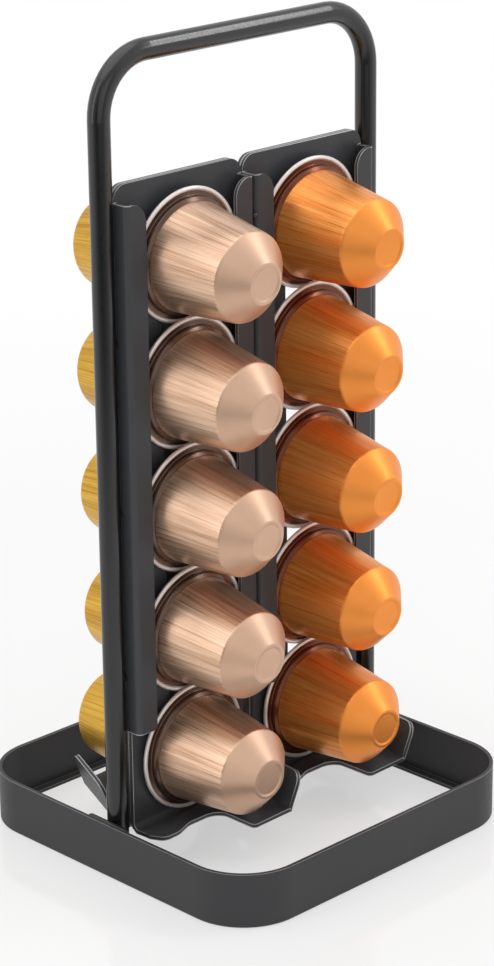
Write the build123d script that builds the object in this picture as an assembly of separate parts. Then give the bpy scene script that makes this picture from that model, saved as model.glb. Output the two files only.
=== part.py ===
from build123d import *
import math
import os

# A coffee capsule holder: a square base ring, a bent rod with a handle at the top,
# four sheet channels standing back to back on the rod, and capsules in three of them.
# Millimetres, Z up, front is -Y, origin at the middle of the base's underside.

# Base ring: a strip bent to a rounded square, with its foot turned inward
base_corner_radius = 18.0
base_height = 15.8
base_sheet = 1.0
base_foot_width = 3.4
base_foot_round = 0.7

# Handle frame: one round rod bent to an upside-down U
rod_diameter = 6.0
overall_height = 228.6
rod_bend_radius = 16.0
leg_inset = 1.9
hand_room = 26.0

# Capsule: drawn cup with a curled rim, foil lid and the coffee inside
flange_radius = 18.6
rim_thickness = 1.2
cup_wall = 0.4
lid_thickness = 0.3
flange_width = 2.5
step_height = 2.2
step_slope_height = 0.6
step_inset = 1.0
body_taper = 2.8
shoulder_height = 24.2
nose_taper = 6.7
capsule_length = 30.5
nose_dish_margin = 0.6
nose_dish_depth = 0.3
coffee_clearance = 0.2
lid_clearance = 0.1

# How the capsules stand in a channel
tilt = 4.3
lowest_tilt = 2.0
stack_clearance = 0.4
pull_clearance = 0.8
flange_clearance = 0.3
seat_clearance = 0.3
# The lowest gold capsule lies part of the way out along its shelf
gold_slide_out = 4.5

# Channel: one sheet blank with a web, two side walls, two lips and a cradle
channel_sheet = 1.2
bend_radius = 0.3
middle_gap = 0.5
leg_gap = 0.1
flange_play = 3.1
lip_hold = 2.35
lip_top_round = 5.0
lip_end_round = 1.5
exit_clearance = 1.1
wall_above_top_row = 17.6
web_crown = 4.4
web_crown_round = 4.2
window_width = 14.0
window_head = 22.4
window_foot = 2.6
notch_width = 1.6

# Cradle: the shelf slopes up to the front and ends in a tab with one folded wing
shelf_height = 10.7
shelf_slope = 6.6
shelf_bend_radius = 1.5
wing_lean = 18.6
# Corners of the shelf's free edge, as shares of the channel's width: across, forward, corner radius
shelf_edge_shares = [
    (0.017, 0.186, 0.044),
    (0.044, 0.293, 0.052),
    (0.164, 0.288, 0.131),
    (0.295, 0.231, 0.153),
    (0.541, 0.231, 0.087),
    (0.480, 0.607, 0.026),
]
# Ends of the wing's fold, as shares of the channel's width: across, forward
fold_shares = [(0.799, 0.594), (0.969, 0.087)]
# Corners of the wing's free edge, as shares of the channel's width: along the fold, up the wing, radius
wing_edge_shares = [
    (-0.022, 0.236, 0.066),
    (0.400, 0.225, 0.120),
]
wing_length_share = 0.480

# Welds
tack_radius = 0.85
tack_depth = 0.4
tack_drops = [11.0, 14.8]
foot_bead_length = 13.0
foot_bead_drop = 1.3
foot_bead_bite = 0.3
spot_radius = 0.8
spot_side = 1.3
spot_bite = 0.5
spot_height_shares = [0.3, 0.55, 0.8]

# How far a cut runs past the faces that it goes through
overrun = 1.0

# Values that follow from the sizes above
rod_radius = rod_diameter / 2
bead_radius = rim_thickness / 2
tilt_angle = math.radians(tilt)
lowest_angle = math.radians(lowest_tilt)
slope_angle = math.radians(shelf_slope)
step_radius = flange_radius - flange_width
body_radius = step_radius - step_inset
shoulder_radius = body_radius - body_taper
nose_radius = shoulder_radius - nose_taper
channel_width = 2 * (flange_radius + flange_play + channel_sheet)
channel_centre = middle_gap / 2 + channel_width / 2
channel_outer = middle_gap / 2 + channel_width
leg_spacing = 2 * (channel_outer + leg_gap + rod_radius)
leg_outer = leg_spacing / 2 + rod_radius
base_side = 2 * (leg_outer + leg_inset + base_sheet)
half_mouth = flange_radius - lip_hold
lip_reach = math.sqrt(flange_radius ** 2 - half_mouth ** 2)
flange_gap = (rim_thickness + (flange_radius + lip_reach) * math.sin(tilt_angle)
              + 2 * flange_clearance)
channel_depth = flange_gap + 2 * channel_sheet

# Flange centres: forward distance and height of each row, the lowest first
row_forward = (channel_sheet + flange_clearance + bead_radius
               + flange_radius * math.sin(tilt_angle))
lowest_forward = (row_forward + rim_thickness + flange_clearance
                  - flange_radius * (math.sin(tilt_angle) + math.sin(lowest_angle)))
lowest_foot_forward = lowest_forward - flange_radius * math.sin(lowest_angle) + bead_radius
shelf_under_flange = shelf_height + (lowest_foot_forward - channel_sheet) * math.tan(slope_angle)
lowest_height = shelf_under_flange + seat_clearance + flange_radius
second_height = (lowest_height + flange_radius * math.cos(lowest_angle)
                 + step_radius * math.cos(tilt_angle) + pull_clearance)
row_pitch = (flange_radius + step_radius) * math.cos(tilt_angle) + stack_clearance
top_row_limit = overall_height - rod_diameter - hand_room - web_crown - wall_above_top_row
upper_rows = 1 + math.floor((top_row_limit - second_height) / row_pitch)
row_heights = [lowest_height] + [second_height + row_pitch * n for n in range(upper_rows)]
wall_bottom = lowest_height + math.sqrt(flange_radius ** 2 - (half_mouth - exit_clearance) ** 2)
wall_top = row_heights[-1] + wall_above_top_row
window_bottom = wall_bottom - window_foot
window_top = wall_top - window_head

# The cradle's outlines in millimetres
shelf_edge = [[share * channel_width for share in corner] for corner in shelf_edge_shares]
fold_front, fold_back = [[share * channel_width for share in end] for end in fold_shares]
wing_edge = [[share * channel_width for share in corner] for corner in wing_edge_shares]
wing_length = wing_length_share * channel_width
shelf_reach = max(forward for across, forward, radius in shelf_edge) + overrun


def rounded_face(corners):
    """A flat face through (x, y, corner radius) points."""
    face = make_face(Polyline(*[(x, y) for x, y, radius in corners], close=True))
    for x, y, radius in corners:
        if radius > 0:
            vertex = min(face.vertices(), key=lambda v: (v.X - x) ** 2 + (v.Y - y) ** 2)
            face = fillet([vertex], radius)
    return face


def turned(points):
    """A body of revolution about Z from (radius, height) points."""
    profile = Plane.XZ * make_face(Polyline(*points, close=True))
    return revolve(profile, axis=Axis.Z)


def base_ring():
    outline = RectangleRounded(base_side, base_side, base_corner_radius)
    inside = offset(outline, -base_sheet)
    hole = offset(outline, -base_foot_width)
    ring = extrude(outline, amount=base_height)
    foot_edges = ring.edges().group_by(Axis.Z)[0]
    ring = fillet(foot_edges, base_foot_round)
    ring -= Pos(0, 0, base_sheet) * extrude(inside, amount=base_height)
    ring -= Pos(0, 0, -overrun) * extrude(hole, amount=base_height)
    return ring


def handle_frame():
    top = overall_height - rod_radius
    side = leg_spacing / 2
    path = FilletPolyline(
        (-side, 0, base_sheet),
        (-side, 0, top),
        (side, 0, top),
        (side, 0, base_sheet),
        radius=rod_bend_radius,
    )
    section = Plane(origin=path @ 0, z_dir=path % 0) * Circle(rod_radius)
    return sweep(section, path=path)


def lipped_walls():
    """The C section: web, side walls and lips, centred on x = 0, web's back at y = 0."""
    outer = fillet(Rectangle(channel_width, channel_depth).vertices(), channel_sheet + bend_radius)
    inner = Rectangle(channel_width - 2 * channel_sheet, channel_depth - 2 * channel_sheet)
    inner = fillet(inner.vertices(), bend_radius)
    mouth = Rectangle(2 * half_mouth, 2 * (channel_sheet + overrun))
    section = outer - inner - Pos(0, -channel_depth / 2, 0) * mouth
    walls = extrude(section, amount=wall_top - wall_bottom)
    walls = Pos(0, -channel_depth / 2, wall_bottom) * walls
    corners = [
        edge for edge in walls.edges().filter_by(Axis.Y)
        if abs(abs(edge.center().X) - half_mouth) < channel_sheet / 2
    ]
    middle = (wall_top + wall_bottom) / 2
    walls = fillet([e for e in corners if e.center().Z > middle], lip_top_round)
    corners = [
        edge for edge in walls.edges().filter_by(Axis.Y)
        if abs(abs(edge.center().X) - half_mouth) < channel_sheet / 2
    ]
    return fillet([e for e in corners if e.center().Z < middle], lip_end_round)


def web_crown_plate():
    plate = Pos(0, -channel_sheet / 2, wall_top + web_crown / 2) * Box(
        channel_width, channel_sheet, web_crown
    )
    top_corners = plate.edges().filter_by(Axis.Y).group_by(Axis.Z)[-1]
    return fillet(top_corners, web_crown_round)


def cradle():
    """The lower web, bent forward into the shelf, and the wing folded up from its side."""
    half_sheet = channel_sheet / 2
    bend_height = (shelf_height - half_sheet / math.cos(slope_angle)
                   - half_sheet * math.tan(slope_angle))
    run = FilletPolyline(
        (-half_sheet, wall_bottom),
        (-half_sheet, bend_height),
        (-half_sheet - shelf_reach, bend_height + shelf_reach * math.tan(slope_angle)),
        radius=shelf_bend_radius + half_sheet,
    )
    strip = extrude(Plane.YZ * trace(run, line_width=channel_sheet), amount=channel_width / 2, both=True)
    left = -channel_width / 2
    edge = [(left + notch_width, overrun, 0), (left + notch_width, -channel_sheet, 0)]
    edge += [(left + across, -forward, radius) for across, forward, radius in shelf_edge]
    edge += [(left + across, -forward, 0) for across, forward in (fold_front, fold_back)]
    edge += [(-left - notch_width, -fold_back[1], 0), (-left - notch_width, overrun, 0)]
    blank = extrude(rounded_face(edge), amount=wall_bottom + overrun)
    shelf = strip & blank

    def on_shelf(spot):
        across, forward = spot
        rise = (forward - half_sheet) * math.tan(slope_angle)
        return Vector(left + across, -forward, bend_height + rise)

    front, back = on_shelf(fold_front), on_shelf(fold_back)
    along = (back - front).normalized()
    upright = (Vector(0, 0, 1) - along * along.Z).normalized()
    outward = along.cross(upright)
    lean = math.radians(wing_lean)
    rise = upright * math.cos(lean) + outward * math.sin(lean)
    wing_plane = Plane(origin=front, x_dir=along, z_dir=along.cross(rise))
    outline = [(0, 0, 0)] + wing_edge + [(wing_length, 0, 0)]
    wing = extrude(wing_plane * rounded_face(outline), amount=half_sheet, both=True)
    fold = Plane(origin=front, z_dir=along) * Cylinder(
        half_sheet, wing_length, align=(Align.CENTER, Align.CENTER, Align.MIN)
    )
    return shelf + fold + wing


def channel():
    body = lipped_walls() + web_crown_plate() + cradle()
    length = window_top - window_bottom
    slot = Plane.XZ * (Rot(0, 0, 90) * SlotOverall(length, window_width))
    window = extrude(slot, amount=channel_sheet + overrun, both=True)
    return body - Pos(0, 0, window_bottom + length / 2) * window


def cup():
    seat = lid_thickness + lid_clearance
    dish = nose_radius - nose_dish_margin
    dish_floor = capsule_length - nose_dish_depth
    curl = flange_radius - bead_radius
    slope_end = step_height + step_slope_height
    shell = turned([
        (step_radius - cup_wall, seat),
        (curl, seat),
        (curl, seat + cup_wall),
        (step_radius, seat + cup_wall),
        (step_radius, step_height),
        (body_radius, slope_end),
        (shoulder_radius, shoulder_height),
        (nose_radius, capsule_length),
        (dish, capsule_length),
        (dish - nose_dish_depth, dish_floor),
        (0, dish_floor),
        (0, dish_floor - cup_wall),
        (nose_radius - cup_wall, dish_floor - cup_wall),
        (shoulder_radius - cup_wall, shoulder_height - cup_wall),
        (body_radius - cup_wall, slope_end),
        (step_radius - cup_wall, step_height),
    ])
    rim = Pos(0, 0, bead_radius) * Torus(curl, bead_radius)
    return shell + rim


def coffee():
    inset = cup_wall + coffee_clearance
    floor = lid_thickness + lid_clearance + coffee_clearance
    top = capsule_length - nose_dish_depth - inset
    return turned([
        (0, floor),
        (step_radius - inset, floor),
        (step_radius - inset, step_height - coffee_clearance),
        (body_radius - inset, step_height + step_slope_height),
        (shoulder_radius - inset, shoulder_height - inset),
        (nose_radius - inset, top),
        (0, top),
    ])


def lid():
    radius = flange_radius - rim_thickness - lid_clearance
    disc = Cylinder(radius, lid_thickness, align=(Align.CENTER, Align.CENTER, Align.MIN))
    return Pos(0, 0, lid_clearance) * disc


def seat(row, side, slide_out):
    """Where the capsule of a row stands in the front channel on one side."""
    angle, forward, height = tilt_angle, row_forward, row_heights[row]
    if row == 0:
        angle = lowest_angle
        forward = lowest_forward + slide_out * math.cos(slope_angle)
        height += slide_out * math.sin(slope_angle)
    centre = (side * channel_centre, -forward, height)
    plane = Plane(origin=centre, x_dir=(1, 0, 0), z_dir=(0, -math.cos(angle), -math.sin(angle)))
    return plane.location * Pos(0, 0, -bead_radius)


def tack_welds():
    beads = []
    for face in (-1, 1):
        for drop in tack_drops:
            y = face * (channel_depth - tack_depth)
            beads.append(Pos(0, y, wall_top - drop) * Sphere(tack_radius))
    return Compound(children=beads)


def foot_welds():
    beads = []
    foot_bead_radius = leg_inset / 2 + foot_bead_bite
    for side in (-1, 1):
        place = Pos(side * (leg_outer + leg_inset / 2), 0, base_height - foot_bead_drop)
        bead = Rot(90, 0, 0) * Cylinder(foot_bead_radius, foot_bead_length)
        ends = [Pos(0, end * foot_bead_length / 2, 0) * Sphere(foot_bead_radius) for end in (-1, 1)]
        beads.append(place * (bead + ends[0] + ends[1]))
    return Compound(children=beads)


def leg_spot_welds():
    spots = []
    wall_mid = channel_outer - channel_sheet / 2
    rod_side = math.sqrt(rod_radius ** 2 - spot_side ** 2)
    length = leg_spacing / 2 - rod_side + spot_bite - wall_mid
    for side in (-1, 1):
        for face in (-1, 1):
            for share in spot_height_shares:
                x = side * (wall_mid + length / 2)
                place = Pos(x, face * spot_side, share * wall_top)
                spots.append(place * Rot(0, 90, 0) * Cylinder(spot_radius, length))
    return Compound(children=spots)


nodes = {
    "base_ring": base_ring(),
    "handle_frame": handle_frame(),
    "tack_welds": tack_welds(),
    "foot_welds": foot_welds(),
    "leg_spot_welds": leg_spot_welds(),
}

half_turn = Rot(0, 0, 180)
one_channel = channel()
nodes["front_left_channel"] = Pos(-channel_centre, 0, 0) * one_channel
nodes["front_right_channel"] = Pos(channel_centre, 0, 0) * one_channel
nodes["back_left_channel"] = half_turn * nodes["front_right_channel"]
nodes["back_right_channel"] = half_turn * nodes["front_left_channel"]

# Loaded columns: name, side of the front channel, half turn for a back column, lowest one's slide
columns = [
    ("rose", -1, Pos(0, 0, 0), 0),
    ("orange", 1, Pos(0, 0, 0), 0),
    ("gold", 1, half_turn, gold_slide_out),
]
pieces = {"cup": cup(), "coffee": coffee(), "lid": lid()}
for colour, side, turn, slide_out in columns:
    for row in range(len(row_heights)):
        for piece, shape in pieces.items():
            place = turn * seat(row, side, slide_out)
            nodes[f"{colour}_{piece}_{row + 1}"] = place * shape

os.makedirs("parts", exist_ok=True)
for name, shape in nodes.items():
    export_step(shape, f"parts/{name}.step")
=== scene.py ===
"""Looks of the coffee capsule holder, in metres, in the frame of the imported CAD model."""

import math

import bmesh
import bpy
from mathutils import Matrix, Vector


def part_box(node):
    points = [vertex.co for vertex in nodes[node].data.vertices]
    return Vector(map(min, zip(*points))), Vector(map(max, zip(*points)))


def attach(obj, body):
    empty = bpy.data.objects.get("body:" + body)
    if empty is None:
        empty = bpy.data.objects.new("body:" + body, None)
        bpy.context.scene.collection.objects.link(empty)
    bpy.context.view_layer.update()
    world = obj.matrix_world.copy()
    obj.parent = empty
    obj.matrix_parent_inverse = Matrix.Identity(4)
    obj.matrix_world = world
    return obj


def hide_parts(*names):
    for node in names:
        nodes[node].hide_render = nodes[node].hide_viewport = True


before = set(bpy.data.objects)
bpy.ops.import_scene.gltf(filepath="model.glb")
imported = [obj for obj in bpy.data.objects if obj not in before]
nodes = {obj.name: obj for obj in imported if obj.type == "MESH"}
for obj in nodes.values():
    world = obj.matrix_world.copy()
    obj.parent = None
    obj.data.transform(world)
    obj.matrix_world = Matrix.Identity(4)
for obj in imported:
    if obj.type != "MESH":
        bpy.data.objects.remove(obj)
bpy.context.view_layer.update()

MM = 0.001

# Camera, fitted to the photograph's frame
image_height_px = 966
focal_length_px = 2969.8
film_size_mm = 36.0
camera_place_mm = (-538.6, -551.3, 374.1)
camera_yaw_deg = 44.428
camera_pitch_deg = 19.575
camera_roll_deg = -0.653

# Capsule sizes in millimetres, the same as in the CAD
flange_radius = 18.6
rim_thickness = 1.2
lid_gap = 0.1
lid_thickness = 0.3
flange_height = 0.8
step_radius = 16.1
step_height = 2.2
body_radius = 15.1
body_start = 2.8
shoulder_radius = 12.3
shoulder_height = 24.2
nose_radius = 5.6
capsule_length = 30.5
dish_radius = 4.9
dish_height = 30.2
tilt_deg = 4.3
lowest_tilt_deg = 2.0
rows = range(1, 6)

# Roundings of the pressed cup in millimetres
rim_arc_deg = 160
small_round = 0.3
step_round = 0.45
shoulder_round = 1.6
nose_round = 0.5
turns_around = 128
arc_steps = 6

# Turn of each cup about its own axis, so that no two neighbours show the same brush lines
row_spin_deg = 77
column_spin_deg = 31

# Cut edges: width of the bright line, a painted highlight, in millimetres, and the angles that tell an edge
# from a flat
sheet_edge_width = 0.25
base_edge_width = 0.15
edge_segments = 2
join_distance = 0.01
cut_edge_angle_deg = 80
flat_angle_deg = 0.5

# White table top in metres, with the shares of its own light and of its mirror image
table_size = 1.2
table_fade_start = 0.25
table_fade_end = 0.55
table_glow_share = 0.55
table_mirror_share = 0.06

# Studio: strength of the fill light, of the dark room in mirror images, and the way to the bright wall
fill_strength = 0.55
dark_room_strength = 0.1
dark_room_from = -1.0
dark_room_to = -0.3
bright_wall_way = (0.69, 0.7, 0.2)

# Ceiling light: strength, spread and tilts about X and Y
ceiling_strength = 0.9
ceiling_spread_deg = 70
ceiling_tilts_deg = (-8, -10)

# Softboxes: place, aim and way of the second side, then both sides, all in metres, and the power in watts
softboxes = {
    "right_front_strip": ((0.9, -0.58, 0.97), (0, 0, 0.22), (0, 0.79, 0.61), (0.18, 1.0), 3.8),
    "left_strip": ((-1.05, 0.3, 0.48), (0, 0, 0.12), (0, 0, 1), (0.25, 1.0), 1.2),
    "front_softbox": ((-0.62, -0.9, 0.4), (0, 0, 0.1), (0, 0, 1), (0.9, 0.9), 1.9),
}

# Columns: colour name and the way that its noses point along Y
columns = {"rose": -1, "orange": -1, "gold": 1}
sheet_nodes = ["front_left_channel", "front_right_channel", "back_left_channel", "back_right_channel"]
weld_nodes = ["tack_welds", "foot_welds", "leg_spot_welds"]


def linear(hex_colour):
    """An sRGB hex value as linear RGBA."""
    channels = [int(hex_colour[i:i + 2], 16) / 255 for i in (1, 3, 5)]
    return [c / 12.92 if c <= 0.04045 else ((c + 0.055) / 1.055) ** 2.4 for c in channels] + [1.0]


def add(tree, kind, inputs=None, **settings):
    """Adds a node, sets its properties, and sets or links its inputs."""
    node = tree.nodes.new(kind)
    for name, value in settings.items():
        setattr(node, name, value)
    for name, value in (inputs or {}).items():
        if isinstance(value, bpy.types.NodeSocket):
            tree.links.new(value, node.inputs[name])
        else:
            node.inputs[name].default_value = value
    return node


def new_material(name):
    material = bpy.data.materials.new(name)
    material.use_nodes = True
    material.node_tree.nodes.clear()
    return material, material.node_tree


def powder_coat(name, light, dark, roughness, shine, grain_depth_mm=0.012):
    """Powder-coated steel: an even black with a fine pebbled skin that blurs every highlight.
    The real grain is about 0.1 mm, drawn coarser here so that it shows."""
    material, tree = new_material(name)
    grain_mm, patch_mm = 0.5, 30
    place = add(tree, "ShaderNodeTexCoord").outputs["Object"]
    grain = add(tree, "ShaderNodeTexNoise", {"Vector": place, "Scale": 1 / (grain_mm * MM), "Detail": 2.0})
    patches = add(tree, "ShaderNodeTexNoise", {"Vector": place, "Scale": 1 / (patch_mm * MM), "Detail": 2.0})
    colour = add(tree, "ShaderNodeMix", {
        0: patches.outputs["Fac"], 6: linear(dark), 7: linear(light),
    }, data_type="RGBA")
    rough = add(tree, "ShaderNodeMapRange", {
        "Value": grain.outputs["Fac"], "From Min": 0.3, "From Max": 0.7,
        "To Min": roughness - 0.05, "To Max": roughness + 0.05,
    })
    bump = add(tree, "ShaderNodeBump", {
        "Height": grain.outputs["Fac"], "Distance": grain_depth_mm * MM, "Strength": 0.5,
    })
    shader = add(tree, "ShaderNodeBsdfPrincipled", {
        "Base Color": colour.outputs[2], "Roughness": rough.outputs["Result"],
        "Specular IOR Level": shine, "Normal": bump.outputs["Normal"],
    })
    add(tree, "ShaderNodeOutputMaterial", {"Surface": shader.outputs["BSDF"]})
    return material


def brushed_lacquer(name, light, mid, dark, metal):
    """Clear tinted lacquer on brushed, drawn aluminium: fine lines run from the flange to the shoulder,
    so highlights spread around the cup and break into lengthwise streaks.
    The tint also scatters some light."""
    material, tree = new_material(name)
    line_mm, line_length_mm, band_mm, band_length_mm = 0.16, 14, 0.9, 40
    place = add(tree, "ShaderNodeTexCoord").outputs["Object"]
    flat = add(tree, "ShaderNodeVectorMath", {0: place, 1: (1, 1, 0)}, operation="MULTIPLY")
    around = add(tree, "ShaderNodeVectorMath", {0: flat.outputs[0]}, operation="NORMALIZE")
    streaks = []
    for width, length in ((line_mm, line_length_mm), (band_mm, band_length_mm)):
        lengthwise = (0, 0, 1 / (length * MM))
        along = add(tree, "ShaderNodeVectorMath", {0: place, 1: lengthwise}, operation="MULTIPLY")
        turns = body_radius / width
        spot = add(tree, "ShaderNodeVectorMath", {
            0: around.outputs[0], 1: (turns, turns, 0), 2: along.outputs[0],
        }, operation="MULTIPLY_ADD")
        streak = add(tree, "ShaderNodeTexNoise", {"Vector": spot.outputs[0], "Scale": 1.0, "Detail": 2.0})
        streaks.append(streak)
    lines, bands = (streak.outputs["Fac"] for streak in streaks)
    line_shade = add(tree, "ShaderNodeMapRange", {"Value": lines, "From Min": 0.3, "From Max": 0.7})
    band_shade = add(tree, "ShaderNodeMapRange", {"Value": bands, "From Min": 0.3, "From Max": 0.7})
    deep = add(tree, "ShaderNodeMix", {
        0: line_shade.outputs["Result"], 6: linear(dark), 7: linear(mid),
    }, data_type="RGBA")
    pale = add(tree, "ShaderNodeMix", {
        0: line_shade.outputs["Result"], 6: linear(mid), 7: linear(light),
    }, data_type="RGBA")
    colour = add(tree, "ShaderNodeMix", {
        0: band_shade.outputs["Result"], 6: deep.outputs[2], 7: pale.outputs[2],
    }, data_type="RGBA")
    rough = add(tree, "ShaderNodeMapRange", {
        "Value": lines, "From Min": 0.3, "From Max": 0.7, "To Min": 0.26, "To Max": 0.4,
    })
    bump = add(tree, "ShaderNodeBump", {"Height": lines, "Distance": 0.012 * MM, "Strength": 0.5})
    sideways = add(tree, "ShaderNodeTangent", direction_type="RADIAL", axis="Z")
    shader = add(tree, "ShaderNodeBsdfPrincipled", {
        "Base Color": colour.outputs[2], "Metallic": metal, "Roughness": rough.outputs["Result"],
        "Anisotropic": 0.6, "Tangent": sideways.outputs["Tangent"], "Normal": bump.outputs["Normal"],
    })
    add(tree, "ShaderNodeOutputMaterial", {"Surface": shader.outputs["BSDF"]})
    return material


def satin_lacquer(name, light, dark, roughness, metal=0.75):
    """The same lacquer over a pressed, unbrushed face: a soft even sheen with faint clouding."""
    material, tree = new_material(name)
    cloud_mm, grain_mm = 6, 0.25
    place = add(tree, "ShaderNodeTexCoord").outputs["Object"]
    clouds = add(tree, "ShaderNodeTexNoise", {"Vector": place, "Scale": 1 / (cloud_mm * MM), "Detail": 3.0})
    grain = add(tree, "ShaderNodeTexNoise", {"Vector": place, "Scale": 1 / (grain_mm * MM), "Detail": 2.0})
    colour = add(tree, "ShaderNodeMix", {
        0: clouds.outputs["Fac"], 6: linear(dark), 7: linear(light),
    }, data_type="RGBA")
    bump = add(tree, "ShaderNodeBump", {
        "Height": grain.outputs["Fac"], "Distance": 0.008 * MM, "Strength": 0.3,
    })
    shader = add(tree, "ShaderNodeBsdfPrincipled", {
        "Base Color": colour.outputs[2], "Metallic": metal, "Roughness": roughness,
        "Normal": bump.outputs["Normal"],
    })
    add(tree, "ShaderNodeOutputMaterial", {"Surface": shader.outputs["BSDF"]})
    return material


def rolled_foil(name, light, dark):
    """Rolled lid foil: bright silver with shallow creases."""
    material, tree = new_material(name)
    crease_mm = 5
    place = add(tree, "ShaderNodeTexCoord").outputs["Object"]
    creases = add(tree, "ShaderNodeTexNoise", {
        "Vector": place, "Scale": 1 / (crease_mm * MM), "Detail": 4.0,
    })
    colour = add(tree, "ShaderNodeMix", {
        0: creases.outputs["Fac"], 6: linear(dark), 7: linear(light),
    }, data_type="RGBA")
    bump = add(tree, "ShaderNodeBump", {
        "Height": creases.outputs["Fac"], "Distance": 0.15 * MM, "Strength": 0.5,
    })
    shader = add(tree, "ShaderNodeBsdfPrincipled", {
        "Base Color": colour.outputs[2], "Metallic": 1.0, "Roughness": 0.33,
        "Normal": bump.outputs["Normal"],
    })
    add(tree, "ShaderNodeOutputMaterial", {"Surface": shader.outputs["BSDF"]})
    return material


def ground_coffee():
    """Roasted coffee grounds: dull dark brown crumbs of about 0.8 mm."""
    material, tree = new_material("ground_coffee")
    crumb_mm = 0.8
    place = add(tree, "ShaderNodeTexCoord").outputs["Object"]
    crumbs = add(tree, "ShaderNodeTexVoronoi", {"Vector": place, "Scale": 1 / (crumb_mm * MM)})
    colour = add(tree, "ShaderNodeMix", {
        0: crumbs.outputs["Distance"], 6: linear("#4a2c18"), 7: linear("#1d0f07"),
    }, data_type="RGBA")
    bump = add(tree, "ShaderNodeBump", {
        "Height": crumbs.outputs["Distance"], "Distance": 0.3 * MM, "Strength": 0.8,
    })
    shader = add(tree, "ShaderNodeBsdfPrincipled", {
        "Base Color": colour.outputs[2], "Roughness": 0.9, "Normal": bump.outputs["Normal"],
    })
    add(tree, "ShaderNodeOutputMaterial", {"Surface": shader.outputs["BSDF"]})
    return material


# Sheet and base: the rod's black powder coat, painted lighter to stand for the light falling on them
# (painted light).
sheet_coat = powder_coat("black_coat_sheet_painted_lighter", "#46474a", "#404144", 0.36, 0.22, 0.006)
base_coat = powder_coat("black_coat_base_painted_lighter", "#3b3b3d", "#353537", 0.5, 0.3)
rod_coat = powder_coat("powder_coated_rod", "#101113", "#0c0d0f", 0.2, 0.65, 0.003)
# Pale colours on the bevelled cut edges of sheet and base: painted highlights.
edge_highlight_coat = powder_coat("painted_highlight_on_cut_edges", "#b4b4b6", "#a2a2a4", 0.26, 0.8, 0.003)
base_highlight_coat = powder_coat("painted_highlight_on_base_edges", "#8a8a8c", "#7c7c7e", 0.3, 0.6, 0.003)
weld_coat = powder_coat("powder_coated_weld_bead", "#242426", "#1a1a1c", 0.25, 0.5)

# Flanges: each capsule's own tint, painted darker and duller to stand for the shade under the channel lips
# (painted shade).
finishes = {
    "rose": {
        "body": brushed_lacquer("rose_lacquer_brushed", "#f4d4b8", "#d8b094", "#a67e62", 0.82),
        "nose": satin_lacquer("rose_lacquer_satin", "#d8b49a", "#cca68c", 0.42),
        "flange": satin_lacquer("rose_flange_lacquer_painted_darker", "#6d574b", "#5a463b", 0.24),
    },
    "orange": {
        "body": brushed_lacquer("orange_lacquer_brushed", "#ffbc70", "#f8963c", "#d67026", 0.62),
        "nose": satin_lacquer("orange_lacquer_satin", "#f89e4a", "#ee8e3a", 0.42),
        "flange": satin_lacquer("orange_flange_lacquer_painted_darker", "#7a4733", "#663825", 0.24),
    },
    "gold": {
        "body": brushed_lacquer("gold_lacquer_brushed", "#f2c85c", "#d29c28", "#a87a16", 0.8),
        "nose": satin_lacquer("gold_lacquer_satin", "#e0b040", "#d2a032", 0.42),
        "flange": satin_lacquer("gold_flange_lacquer_painted_darker", "#846732", "#6b5124", 0.24),
    },
}
rim_lacquer = satin_lacquer("pale_rim_lacquer", "#f3eae6", "#eadfda", 0.3, 0.4)
lid_foil = rolled_foil("rolled_lid_foil", "#d9d7d4", "#b9b7b3")
coffee = ground_coffee()


def rounded_run(corners):
    """Points of an outline whose corners (radius, height, rounding) are replaced by arcs."""
    points = []
    for i, (r, z, rounding) in enumerate(corners):
        corner = Vector((r, z))
        if rounding == 0 or i in (0, len(corners) - 1):
            points.append(corner)
            continue
        back = (Vector(corners[i - 1][:2]) - corner).normalized()
        ahead = (Vector(corners[i + 1][:2]) - corner).normalized()
        half_angle = back.angle(ahead) / 2
        reach = rounding / math.tan(half_angle)
        centre = corner + (back + ahead).normalized() * rounding / math.sin(half_angle)
        start = corner + back * reach - centre
        sweep = math.pi - 2 * half_angle
        way = 1 if start.cross(corner + ahead * reach - centre) > 0 else -1
        for step in range(arc_steps + 1):
            angle = way * sweep * step / arc_steps
            turned = Matrix.Rotation(angle, 2) @ start
            points.append(centre + turned)
    return points


def cup_outline():
    """The cup's outside from the back of the rim to the middle of the nose, with a finish for each run."""
    bead = rim_thickness / 2
    rim = []
    for step in range(4 * arc_steps + 1):
        angle = math.radians(-rim_arc_deg + 2 * rim_arc_deg * step / (4 * arc_steps))
        rim.append(Vector((flange_radius - bead + bead * math.cos(angle), bead + bead * math.sin(angle))))
    inner_rim = flange_radius - rim_thickness
    flange = rounded_run([
        (inner_rim, flange_height, 0),
        (step_radius, flange_height, small_round),
        (step_radius, step_height, step_round),
        (body_radius, body_start, small_round),
        ((body_radius + shoulder_radius) / 2, (body_start + shoulder_height) / 2, 0),
    ])
    body_from = len(flange) - 2
    nose = rounded_run([
        ((body_radius + shoulder_radius) / 2, (body_start + shoulder_height) / 2, 0),
        (shoulder_radius, shoulder_height, shoulder_round),
        (nose_radius, capsule_length, nose_round),
        (dish_radius, capsule_length, small_round / 2),
        (dish_radius - 2 * small_round, dish_height, small_round / 2),
        (0, dish_height, 0),
    ])
    nose_from = 1 + arc_steps // 2
    points = rim + flange + nose[1:]
    finish = []
    for i in range(len(points) - 1):
        if i < len(rim):
            finish.append("rim")
        elif i < len(rim) + body_from:
            finish.append("flange")
        elif i < len(rim) + len(flange) + nose_from - 1:
            finish.append("body")
        else:
            finish.append("nose")
    return points, finish


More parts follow.
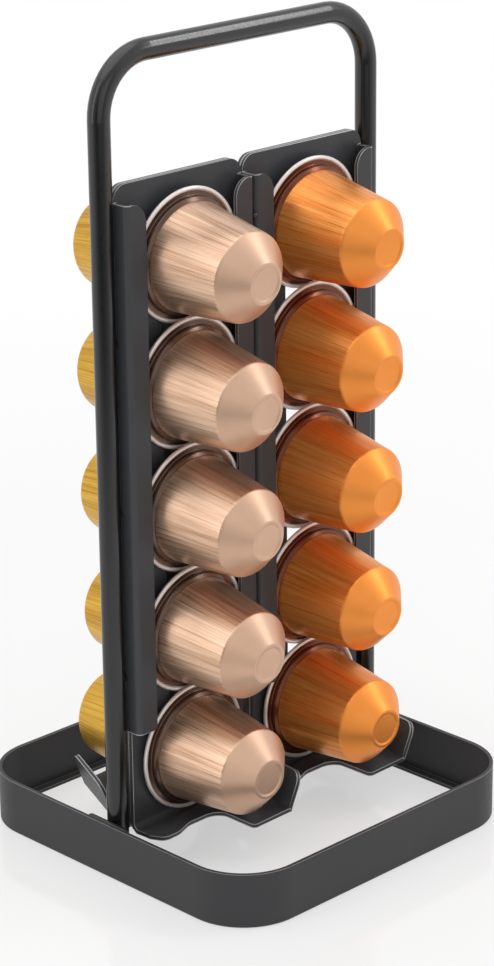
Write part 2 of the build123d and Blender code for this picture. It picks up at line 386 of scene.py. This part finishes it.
def cup_mesh(colour):
    """One pressed cup, turned about its own Z axis from the lid to the nose."""
    points, finish = cup_outline()
    order = ["rim", "flange", "body", "nose"]
    mesh = bpy.data.meshes.new(f"{colour}_cup")
    for name in order:
        mesh.materials.append(rim_lacquer if name == "rim" else finishes[colour][name])
    shape = bmesh.new()
    rings = []
    for r, z in points[:-1]:
        ring = []
        for k in range(turns_around):
            angle = math.tau * k / turns_around
            ring.append(shape.verts.new((r * MM * math.cos(angle), r * MM * math.sin(angle), z * MM)))
        rings.append(ring)
    tip = shape.verts.new((0, 0, points[-1].y * MM))
    for i, (low, high) in enumerate(zip(rings, rings[1:])):
        for k in range(turns_around):
            after = (k + 1) % turns_around
            face = shape.faces.new((low[k], low[after], high[after], high[k]))
            face.material_index = order.index(finish[i])
    for k in range(turns_around):
        face = shape.faces.new((rings[-1][k], rings[-1][(k + 1) % turns_around], tip))
        face.material_index = order.index("nose")
    for face in shape.faces:
        face.smooth = True
    shape.to_mesh(mesh)
    shape.free()
    return mesh


def dress_capsules():
    for column, (colour, way) in enumerate(columns.items()):
        mesh = cup_mesh(colour)
        for row in rows:
            tilt = math.radians(lowest_tilt_deg if row == 1 else tilt_deg)
            axis = Vector((0, way * math.cos(tilt), -math.sin(tilt)))
            across = Vector((-way, 0, 0))
            low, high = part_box(f"{colour}_lid_{row}")
            foot = (low + high) / 2 - axis * (lid_gap + lid_thickness / 2) * MM
            turn = Matrix((across, axis.cross(across), axis)).transposed().to_4x4()
            spin_deg = row_spin_deg * row + column_spin_deg * column
            spin = Matrix.Rotation(math.radians(spin_deg), 4, "Z")
            cup = bpy.data.objects.new(f"{colour}_pressed_cup_{row}", mesh)
            bpy.context.scene.collection.objects.link(cup)
            cup.matrix_world = Matrix.Translation(foot) @ turn @ spin
            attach(cup, f"{colour}_capsule_{row}")
            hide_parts(f"{colour}_cup_{row}")


def dress_node(name, coat, edge=None, edge_width_mm=0):
    """Gives a CAD node its coat and, on sheet, a thin bright line along its cut edges, which is a painted
    highlight.
    """
    piece = nodes[name]
    piece.data.materials.clear()
    piece.data.materials.append(coat)
    if edge:
        piece.data.materials.append(edge)
        weld = piece.modifiers.new("join", "WELD")
        weld.merge_threshold = join_distance * MM
        flats = piece.modifiers.new("whole_flats", "DECIMATE")
        flats.decimate_type = "DISSOLVE"
        flats.angle_limit = math.radians(flat_angle_deg)
        bevel = piece.modifiers.new("cut_edge", "BEVEL")
        bevel.width = edge_width_mm * MM
        bevel.segments = edge_segments
        bevel.limit_method = "ANGLE"
        bevel.angle_limit = math.radians(cut_edge_angle_deg)
        # The bevel faces take the pale painted highlight colour.
        bevel.material = 1
        bevel.offset_type = "ABSOLUTE"
        bevel.use_clamp_overlap = False
        bevel.loop_slide = False


dress_node("base_ring", base_coat, base_highlight_coat, base_edge_width)
dress_node("handle_frame", rod_coat)
for name in sheet_nodes:
    dress_node(name, sheet_coat, edge_highlight_coat, sheet_edge_width)
for name in weld_nodes:
    dress_node(name, weld_coat)
for colour in columns:
    for row in rows:
        dress_node(f"{colour}_lid_{row}", lid_foil)
        dress_node(f"{colour}_coffee_{row}", coffee)
dress_capsules()


def add_floor():
    """A white table top: white to the camera and in reflections, with a soft shadow
    and a faint mirror image. Towards its rim it fades into the white around it."""
    bpy.ops.mesh.primitive_plane_add(size=table_size)
    floor = bpy.context.object
    floor.name = "white_table_top"
    material, tree = new_material("white_table_top")
    matte = add(tree, "ShaderNodeBsdfDiffuse", {"Color": linear("#fafafa")})
    glow = add(tree, "ShaderNodeEmission", {"Color": linear("#ffffff"), "Strength": 1.0})
    path = add(tree, "ShaderNodeLightPath")
    seen = add(tree, "ShaderNodeMath", {
        0: path.outputs["Is Camera Ray"], 1: path.outputs["Is Glossy Ray"],
    }, operation="MAXIMUM")
    seen = add(tree, "ShaderNodeMath", {
        0: seen.outputs[0], 1: path.outputs["Is Transmission Ray"],
    }, operation="MAXIMUM")
    share = add(tree, "ShaderNodeMath", {0: seen.outputs[0], 1: table_glow_share}, operation="MULTIPLY")
    bright = add(tree, "ShaderNodeMixShader", {
        "Fac": share.outputs[0], 1: matte.outputs[0], 2: glow.outputs[0],
    })
    mirror = add(tree, "ShaderNodeBsdfGlossy", {"Roughness": 0.1})
    surface = add(tree, "ShaderNodeMixShader", {
        "Fac": table_mirror_share, 1: bright.outputs[0], 2: mirror.outputs[0],
    })
    place = add(tree, "ShaderNodeTexCoord").outputs["Object"]
    reach = add(tree, "ShaderNodeVectorMath", {0: place}, operation="LENGTH")
    fade = add(tree, "ShaderNodeMapRange", {
        "Value": reach.outputs["Value"], "From Min": table_fade_start, "From Max": table_fade_end,
    })
    clear = add(tree, "ShaderNodeBsdfTransparent")
    blend = add(tree, "ShaderNodeMixShader", {
        "Fac": fade.outputs["Result"], 1: surface.outputs[0], 2: clear.outputs[0],
    })
    add(tree, "ShaderNodeOutputMaterial", {"Surface": blend.outputs[0]})
    floor.data.materials.append(material)


def add_world():
    """A white studio: white where it is seen, softer as a fill light, and in mirror images
    white behind the object and overhead, with the darker room on the side of the photographer."""
    world = bpy.data.worlds.new("white_studio")
    bpy.context.scene.world = world
    world.use_nodes = True
    tree = world.node_tree
    tree.nodes.clear()
    path = add(tree, "ShaderNodeLightPath")
    seen = add(tree, "ShaderNodeMath", {
        0: path.outputs["Is Camera Ray"], 1: path.outputs["Is Glossy Ray"],
    }, operation="MAXIMUM")
    seen = add(tree, "ShaderNodeMath", {
        0: seen.outputs[0], 1: path.outputs["Is Transmission Ray"],
    }, operation="MAXIMUM")
    way = add(tree, "ShaderNodeTexCoord").outputs["Generated"]
    behind = add(tree, "ShaderNodeVectorMath", {0: way, 1: bright_wall_way}, operation="DOT_PRODUCT")
    room = add(tree, "ShaderNodeMapRange", {
        "Value": behind.outputs["Value"], "From Min": dark_room_from, "From Max": dark_room_to,
        "To Min": dark_room_strength, "To Max": 1.0,
    })
    mirrored = add(tree, "ShaderNodeMix", {
        0: path.outputs["Is Glossy Ray"], 2: 1.0, 3: room.outputs["Result"],
    })
    strength = add(tree, "ShaderNodeMix", {0: seen.outputs[0], 2: fill_strength, 3: mirrored.outputs[0]})
    light = add(tree, "ShaderNodeBackground", {"Color": linear("#ffffff"), "Strength": strength.outputs[0]})
    add(tree, "ShaderNodeOutputWorld", {"Surface": light.outputs[0]})


def add_lamp(name, place, aim, long_way, size, power):
    """A rectangular softbox, with its second side along long_way."""
    lamp = bpy.data.lights.new(name, "AREA")
    lamp.shape = "RECTANGLE"
    lamp.size, lamp.size_y = size
    lamp.energy = power
    back = (Vector(place) - Vector(aim)).normalized()
    across = Vector(long_way).cross(back).normalized()
    turn = Matrix((across, back.cross(across), back)).transposed().to_4x4()
    holder = bpy.data.objects.new(name, lamp)
    holder.matrix_world = Matrix.Translation(place) @ turn
    bpy.context.scene.collection.objects.link(holder)


def add_ceiling_light():
    """A wide bright ceiling that lights the whole table top alike."""
    lamp = bpy.data.lights.new("bright_ceiling", "SUN")
    lamp.energy = ceiling_strength
    lamp.angle = math.radians(ceiling_spread_deg)
    holder = bpy.data.objects.new("bright_ceiling", lamp)
    tilt_x, tilt_y = (math.radians(tilt) for tilt in ceiling_tilts_deg)
    holder.rotation_euler = (tilt_x, tilt_y, 0)
    bpy.context.scene.collection.objects.link(holder)


def add_camera():
    yaw, pitch, roll = (math.radians(a) for a in (camera_yaw_deg, camera_pitch_deg, camera_roll_deg))
    ahead = Vector((math.sin(yaw) * math.cos(pitch), math.cos(yaw) * math.cos(pitch), -math.sin(pitch)))
    right = Vector((math.cos(yaw), -math.sin(yaw), 0))
    up = right.cross(ahead)
    right, up = right * math.cos(roll) + up * math.sin(roll), up * math.cos(roll) - right * math.sin(roll)
    lens = bpy.data.cameras.new("photo_camera")
    lens.sensor_fit = "VERTICAL"
    lens.sensor_height = film_size_mm
    lens.lens = focal_length_px * film_size_mm / image_height_px
    camera = bpy.data.objects.new("photo_camera", lens)
    turn = Matrix((right, up, -ahead)).transposed().to_4x4()
    camera.matrix_world = Matrix.Translation(Vector(camera_place_mm) * MM) @ turn
    bpy.context.scene.collection.objects.link(camera)
    bpy.context.scene.camera = camera


add_floor()
add_world()
add_ceiling_light()
for name, values in softboxes.items():
    add_lamp(name, *values)
add_camera()
bpy.context.scene.view_settings.view_transform = "Standard"
